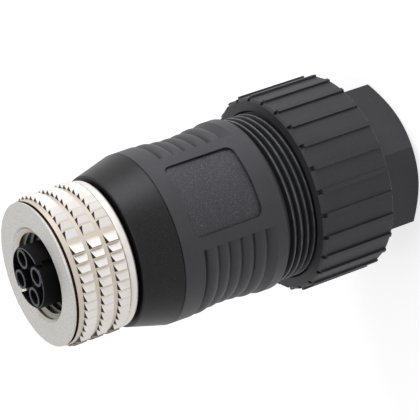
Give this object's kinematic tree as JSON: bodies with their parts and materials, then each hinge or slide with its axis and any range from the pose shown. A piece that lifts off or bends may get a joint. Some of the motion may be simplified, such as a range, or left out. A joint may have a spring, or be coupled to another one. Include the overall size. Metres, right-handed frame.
{
  "type": "m12 connector",
  "caption": "Straight cable connector with screw locking ring, socket insert, plastic housing and cable gland.",
  "frame": {"origin": "centre of the gland nut's end face, which lies on the floor", "axes": "+Z along the connector towards the sockets, -Y towards the label panel"},
  "size_m": [0.027, 0.0268, 0.0538],
  "materials": {
    "nickel": "satin",
    "steel": "satin",
    "contact_metal": "gloss",
    "housing_plastic": "satin",
    "carrier_plastic": "matte",
    "seal_rubber": "matte"
  },
  "bodies": {
    "gland_nut": {"gland_nut": "housing_plastic"},
    "cage": {"clamping_cage": "housing_plastic", "thrust_ring": "steel"},
    "housing": {"rear_housing": "housing_plastic", "gland_seal": "seal_rubber"},
    "housing_ring": {"housing_o_ring": "seal_rubber"},
    "front": {"front_collar": "housing_plastic", "retaining_ring": "steel", "carrier_o_ring": "seal_rubber", "contact_carrier": "carrier_plastic", "face_seal": "seal_rubber", "contact_1": "contact_metal", "contact_2": "contact_metal", "contact_3": "contact_metal", "contact_4": "contact_metal", "spring_sleeve_1": "steel", "spring_sleeve_2": "steel", "spring_sleeve_3": "steel", "spring_sleeve_4": "steel", "terminal_screws": "steel"},
    "coupling_nut": {"coupling_nut": "nickel"}
  },
  "joints": [
    {"name": "gland_turn", "type": "hinge", "parent": "gland_nut", "child": "cage", "pos_m": [0, 0, 0.012], "axis": [0, 0, 1], "range_deg": [-720, 1620]},
    {"name": "gland_travel", "type": "slide", "parent": "cage", "child": "housing", "axis": [0, 0, 1], "range_m": [-0.002, 0.0045]},
    {"name": "collar_travel", "type": "slide", "parent": "housing", "child": "housing_ring", "axis": [0, 0, 1], "range_m": [0, 0.0025]},
    {"name": "collar_turn", "type": "hinge", "parent": "housing_ring", "child": "front", "pos_m": [0, 0, 0.0376], "axis": [0, 0, 1], "range_deg": [0, 900]},
    {"name": "coupling_nut_turn", "type": "hinge", "parent": "front", "child": "coupling_nut", "pos_m": [0, 0, 0.0479], "axis": [0, 0, 1], "continuous": true}
  ],
  "couplings": [
    {"joint": "gland_turn", "follows": "gland_travel", "rad_per_m": 6283.2},
    {"joint": "collar_turn", "follows": "collar_travel", "rad_per_m": 6283.2}
  ]
}
